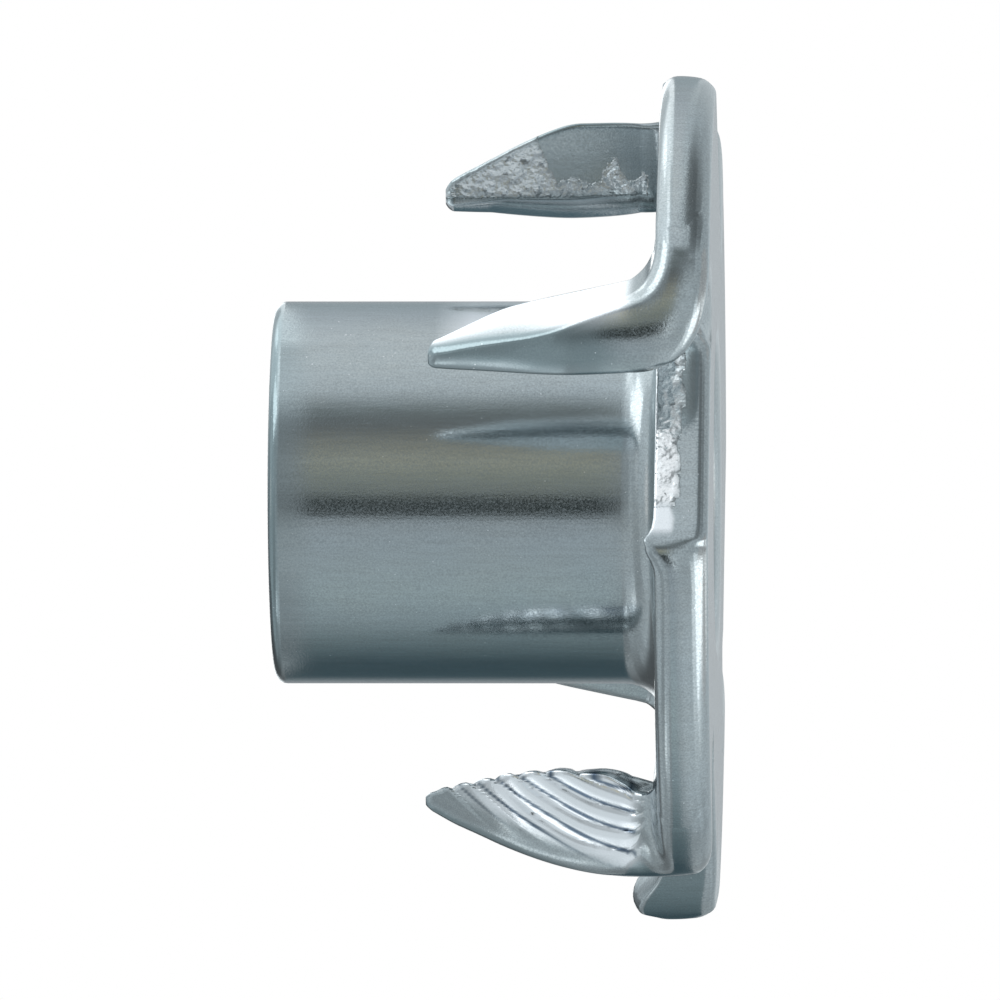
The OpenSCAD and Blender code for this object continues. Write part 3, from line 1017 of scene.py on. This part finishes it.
RINGS = (
    Ring("ring_ground", (-84, -60), stops(
        grey, (-180, 1.3), (-150, 1.4), (-140, 0.8), (-120, 0.7), (-100, 0.9), (-86, 1.6), (-76, 2.3), (-12, 2.4), (-4, 1.3),
        (8, 0.7), (45, 0.7), (60, 0.62), (150, 0.65), (165, 0.8), (180, 1.1))),
    Ring("ring_floor", (-60, -42), stops(
        cool, (-180, 0.95), (-150, 0.72), (-120, 0.77), (-102, 0.85), (-90, 1.05), (-78, 1.4), (-70, 2.2),
        (-14, 2.4), (-6, 1.4), (8, 1.3), (18, 0.66), (60, 0.63), (120, 0.62), (160, 0.68), (180, 0.95))),
    Ring("ring_low", (-42, -24), stops(
        cool, (-180, 0.75), (-150, 0.65), (-126, 0.55), (-102, 0.78), (-78, 0.95), (-50, 1.25), (-24, 1.4),
        (-16, 1.3), (-6, 0.8), (18, 0.62), (42, 0.70), (60, 0.56), (76, 0.42), (86, 0.30), (104, 0.33),
        (114, 0.45), (126, 0.58), (150, 0.65), (170, 0.85), (180, 0.75))),
    Ring("ring_under", (-24, -7), stops(
        cool, (-180, 0.68), (-156, 0.46), (-140, 0.46), (-126, 0.6), (-110, 0.52), (-90, 0.78), (-42, 0.8),
        (-18, 0.62), (6, 0.74), (30, 0.7), (40, 0.6), (50, 0.34), (64, 0.34), (72, 0.26), (84, 0.2), (102, 0.22),
        (112, 0.45), (126, 0.68), (180, 0.68))),
    Ring("ring_skirt", (-7, -3), stops(
        cool, (-180, 0.7), (-162, 0.68), (-150, 0.48), (-102, 0.52), (-90, 0.62), (-30, 0.66), (-20, 0.7), (-12, 1.1), (-2, 1.0), (6, 0.6),
        (24, 0.6), (38, 0.32), (54, 0.34), (66, 0.64), (90, 0.92), (126, 0.76), (180, 0.7))),
    Ring("ring_wall", (-3, 7), (
        (-180, (0.42, 0.43, 0.45)), (-160, (0.30, 0.34, 0.36)), (-148, (0.075, 0.12, 0.14)),
        (-124, (0.075, 0.12, 0.14)), (-112, (0.15, 0.21, 0.23)), (-99, (0.25, 0.32, 0.34)),
        (-82, (0.43, 0.51, 0.54)), (-63, (0.55, 0.64, 0.66)), (-27, (0.54, 0.60, 0.64)), (-16, (0.50, 0.54, 0.57)),
        (-14, (0.045, 0.055, 0.055)), (-4, (0.045, 0.055, 0.055)), (-1, (0.28, 0.30, 0.28)),
        (9, (0.36, 0.375, 0.32)), (18, (0.50, 0.49, 0.40)), (30, (0.36, 0.35, 0.30)), (40, (0.19, 0.20, 0.20)),
        (50, (0.24, 0.27, 0.27)), (64, (0.78, 0.83, 0.86)), (86, (0.93, 0.97, 0.99)), (108, (0.90, 0.93, 0.95)),
        (132, (0.66, 0.71, 0.75)), (155, (0.42, 0.49, 0.52)), (180, (0.42, 0.43, 0.45)))),
    Ring("ring_rise", (7, 15), stops(
        cool, (-180, 1.9), (-172, 1.5), (-165, 0.3), (-156, 0.15), (-148, 0.25), (-126, 0.47), (-112, 0.36), (-102, 0.36), (-90, 0.46),
        (-66, 0.5), (-42, 0.63), (-24, 0.56), (-6, 0.33), (6, 0.44), (18, 0.46), (30, 0.38), (42, 0.40),
        (54, 0.71), (66, 0.98), (98, 0.9), (104, 1.4), (150, 1.4), (160, 1.1), (168, 1.9),
        (180, 1.9))),
    Ring("ring_bright", (15, 27), stops(
        cool, (-180, 0.12), (-150, 0.12), (-126, 0.36), (-102, 0.52), (-92, 0.62), (-84, 0.85), (-74, 0.85), (-66, 0.75),
        (-50, 0.66), (-30, 0.66), (-6, 0.42), (18, 0.5), (42, 0.6), (54, 1.0), (78, 1.8), (90, 1.8), (102, 1.5),
        (106, 1.6), (140, 1.6), (148, 0.8), (172, 0.65), (180, 0.12))),
    Ring("ring_upper", (27, 38), stops(
        cool, (-180, 0.2), (-162, 0.12), (-145, 0.15), (-132, 0.5), (-102, 0.5), (-94, 0.52), (-86, 1.3), (-76, 1.3), (-66, 0.85),
        (-50, 0.66), (-30, 0.66), (-18, 0.62), (34, 0.62), (46, 1.0), (54, 2.4), (66, 2.2), (78, 1.3), (110, 1.4),
        (118, 2.4), (134, 2.2), (146, 1.2), (156, 0.8), (172, 0.9), (180, 0.3))),
    Ring("ring_crown", (38, 58), stops(
        cool, (-180, 0.3), (-145, 0.2), (-128, 0.7), (-102, 0.6), (-84, 0.5), (-70, 0.46), (-54, 0.5), (20, 0.6),
        (36, 0.56), (44, 0.9), (50, 2.4), (84, 2.4), (92, 1.3), (150, 1.25), (165, 0.75), (180, 0.5))),
    Ring("ring_high", (58, 82), stops(
        cool, (-180, 0.5), (-114, 0.72), (-66, 0.7), (-42, 0.62), (42, 0.77), (66, 0.85), (84, 0.9), (132, 0.9),
        (150, 0.6), (180, 0.5))),
)


@dataclass
class Studio:
    """Floor, backdrop light, reflection rings and camera. Lengths are in metres, angles in degrees."""

    azimuth: float = 110.0
    elevation: float = -2.05
    distance: float = 0.430
    view_size: float = 0.02618
    aim_up: float = -0.00020
    aim_z: float = 0.00569

    def build(self) -> None:
        """Builds the stage round the nut."""
        self.look_settings()
        self.world()
        self.floor()
        self.rings()
        self.lamps()
        self.camera()

    def look_settings(self) -> None:
        """Chooses the plain view transform."""
        bpy.context.scene.view_settings.view_transform = "Standard"

    def directions(self) -> tuple[Vector, Vector, Vector]:
        """Returns the picture's right, up and back directions; the nut lies on its side in the picture."""
        a, e = math.radians(self.azimuth), math.radians(self.elevation)
        back = Vector((math.sin(a) * math.cos(e), -math.cos(a) * math.cos(e), math.sin(e)))
        up = Vector((math.cos(a), math.sin(a), 0.0))
        return up.cross(back), up, back

    def camera(self) -> None:
        """Places the camera and its lens so that the picture spans view_size at the nut's axis."""
        right, up, back = self.directions()
        data = bpy.data.cameras.new("camera")
        data.sensor_width = 36.0
        data.lens = 36.0 * self.distance / self.view_size
        data.clip_start, data.clip_end = 0.01, 20.0
        camera = bpy.data.objects.new("camera", data)
        place = up * self.aim_up + Vector((0, 0, self.aim_z)) + back * self.distance
        turn = Matrix((right, up, back)).transposed().to_4x4()
        camera.matrix_world = Matrix.Translation(place) @ turn
        bpy.context.scene.collection.objects.link(camera)
        bpy.context.scene.camera = camera

    def world(self) -> None:
        """Makes the world white to the eye and to reflections, and plain soft light to the rest."""
        world = bpy.data.worlds.new("studio")
        world.use_nodes = True
        bpy.context.scene.world = world
        nodes, links = world.node_tree.nodes, world.node_tree.links
        nodes.clear()
        path = nodes.new("ShaderNodeLightPath")
        seen = nodes.new("ShaderNodeMath")
        seen.operation = "MAXIMUM"
        seen_through = nodes.new("ShaderNodeMath")
        seen_through.operation = "MAXIMUM"
        links.new(path.outputs["Is Camera Ray"], seen.inputs[0])
        links.new(path.outputs["Is Glossy Ray"], seen.inputs[1])
        links.new(seen.outputs["Value"], seen_through.inputs[0])
        links.new(path.outputs["Is Transmission Ray"], seen_through.inputs[1])
        soft = nodes.new("ShaderNodeBackground")
        soft.inputs["Strength"].default_value = 0.8
        white = nodes.new("ShaderNodeBackground")
        white.inputs["Strength"].default_value = 1.0
        for shader in (soft, white):
            shader.inputs["Color"].default_value = (1, 1, 1, 1)
        mix = nodes.new("ShaderNodeMixShader")
        out = nodes.new("ShaderNodeOutputWorld")
        links.new(seen_through.outputs["Value"], mix.inputs["Fac"])
        links.new(soft.outputs["Background"], mix.inputs[1])
        links.new(white.outputs["Background"], mix.inputs[2])
        links.new(mix.outputs["Shader"], out.inputs["Surface"])

    def floor(self) -> None:
        """Lays a plain pale floor just under the flange, clear from below so that the low camera sees past it."""
        half, drop = 600.0, -0.03
        corners = np.array([[-half, -half, drop], [half, -half, drop], [half, half, drop], [-half, half, drop]])
        floor = mesh_object("floor", corners, [[0, 1, 2, 3]])
        material = bpy.data.materials.new("floor_pale")
        material.use_nodes = True
        nodes, links = material.node_tree.nodes, material.node_tree.links
        nodes.clear()
        pale = nodes.new("ShaderNodeBsdfDiffuse")
        pale.inputs["Color"].default_value = (0.86, 0.86, 0.86, 1)
        clear = nodes.new("ShaderNodeBsdfTransparent")
        geometry = nodes.new("ShaderNodeNewGeometry")
        mix = nodes.new("ShaderNodeMixShader")
        out = nodes.new("ShaderNodeOutputMaterial")
        links.new(geometry.outputs["Backfacing"], mix.inputs["Fac"])
        links.new(pale.outputs["BSDF"], mix.inputs[1])
        links.new(clear.outputs["BSDF"], mix.inputs[2])
        links.new(mix.outputs["Shader"], out.inputs["Surface"])
        floor.data.materials.append(material)
        floor.visible_glossy = False

    def rings(self) -> None:
        """Stands graded rings of sheet round the nut for the metal to reflect, as a photographer does."""
        for ring in RINGS:
            self.ring(ring)

    def ring(self, ring: Ring) -> None:
        """Stands one ring: a strip of a cylinder of 300 mm radius round the nut's axis.

        Args:
            ring: Its rise and its stops. Between two stops the colour changes evenly.
        """
        columns, radius = 181, 300.0
        spread = np.linspace(-180, 180, columns)
        angle = math.radians(self.azimuth - 90) + np.radians(spread)
        circle = np.stack([np.cos(angle), np.sin(angle)], -1) * radius
        heights = [radius * math.tan(math.radians(value)) for value in ring.rise]
        points = np.concatenate([np.concatenate([circle, np.full((columns, 1), h)], 1) for h in heights])
        sheet = mesh_object(ring.name, points, grid_faces(2, columns, False, False).tolist())
        places = np.array([stop[0] for stop in ring.stops])
        colours = np.array([stop[1] for stop in ring.stops])
        shade = np.stack([np.interp(spread, places, colours[:, k]) for k in range(3)] + [np.ones(columns)], -1)
        layer = sheet.data.color_attributes.new("shade", "FLOAT_COLOR", "POINT")
        layer.data.foreach_set("color", np.tile(shade, (2, 1)).astype(np.float32).ravel())
        material = bpy.data.materials.new(ring.name)
        material.use_nodes = True
        nodes, links = material.node_tree.nodes, material.node_tree.links
        nodes.clear()
        shown = nodes.new("ShaderNodeAttribute")
        shown.attribute_name = "shade"
        glow = nodes.new("ShaderNodeEmission")
        links.new(shown.outputs["Color"], glow.inputs["Color"])
        out = nodes.new("ShaderNodeOutputMaterial")
        links.new(glow.outputs["Emission"], out.inputs["Surface"])
        sheet.data.materials.append(material)
        sheet.visible_camera = False
        sheet.visible_diffuse = False
        sheet.visible_shadow = False

    def lamps(self) -> None:
        """Hangs the soft lamps: a key above the nut and a fill from the barrel's side."""
        right, up, back = self.directions()
        toward = Vector((math.cos(math.radians(20)), math.sin(math.radians(20)), 0))
        self.lamp("key", up * 0.35 + toward * 0.10 + Vector((0, 0, 0.12)), 0.16, 0.02)
        self.lamp("fill", up * 0.10 + toward * 0.30 + Vector((0, 0, 0.30)), 0.18, 0.02)

    def lamp(self, name: str, place: Vector, size: float, power: float) -> None:
        """Hangs one square area lamp that looks at the nut.

        Args:
            name: Name of the lamp.
            place: Where it hangs.
            size: Side of the square.
            power: Watts.
        """
        data = bpy.data.lights.new(name, "AREA")
        data.size = size
        data.energy = power
        lamp = bpy.data.objects.new(name, data)
        lamp.location = place
        lamp.rotation_euler = (Vector((0, 0, 0.005)) - place).to_track_quat("-Z", "Y").to_euler()
        bpy.context.scene.collection.objects.link(lamp)


def main() -> None:
    logging.basicConfig(level=logging.INFO, format="%(name)s: %(message)s")
    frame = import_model()
    blank = Blank.from_frame(frame["record"])
    prongs = [
        Prong(turn=0.0, lip=0.5, tip_z=7.26, tip_t=0.75, tip_bevel=2.2, tip_power=1.7, face_round=0.2,
              merge=2.0, face_highlight=1.0),
        Prong(turn=90.0, tip_z=7.24, tip_in=5.62, slope_power=1.3, back_round=0.14, outer_lean=0.78,
              bevel=(0.78, 0.42), ragged=0.7, wedge_start=-1.9,
              inner=((0.0, 0.38), (0.2, 0.28), (0.6, 0.12), (1.0, 0.03), (1.6, -0.04), (2.2, -0.07), (2.8, -0.07),
                 (3.4, -0.045), (4.2, 0.0), (6.0, 0.15)),
              outer=((0.0, 8.22), (0.6, 8.28), (1.3, 8.36), (2.6, 8.36), (3.2, 8.15), (4.0, 7.78), (5.6, 6.85),
                     (5.9, 6.6))),
        Prong(turn=180.0, tip_z=7.3, face_shift=0.17),
        Prong(turn=270.0, tip_z=7.5, tip_bevel=2.6, tip_power=1.8, lip=0.85, lip_w=0.95, lip_in=0.8, lip_power=2.2, lip_out=0.45, ripple=0.09,
              scallop=0.16, torn=0.12, wedge=0.3, inner_lean=0.6, inner_round=0.12, bend_round=0.45,
              inner=((0.0, 0.6), (0.3, 0.52), (0.65, 0.2), (1.2, 0.0), (2.4, 0.03), (3.6, 0.17), (4.3, 0.24), (6.0, 0.26)),
              outer=((0.0, 8.2), (0.7, 8.18), (1.2, 8.13), (1.5, 8.07), (2.5, 7.82), (3.3, 7.6), (4.1, 7.36),
                     (4.6, 7.18), (5.5, 6.9), (6.1, 6.58))),
    ]
    nut = TeeNut(blank, prongs).build()
    nut.data.calc_loop_triangles()
    LOG.info("%s: %d vertices, %d triangles", nut.name, len(nut.data.vertices), len(nut.data.loop_triangles))
    Studio().build()


if __name__ == "__main__":
    main()
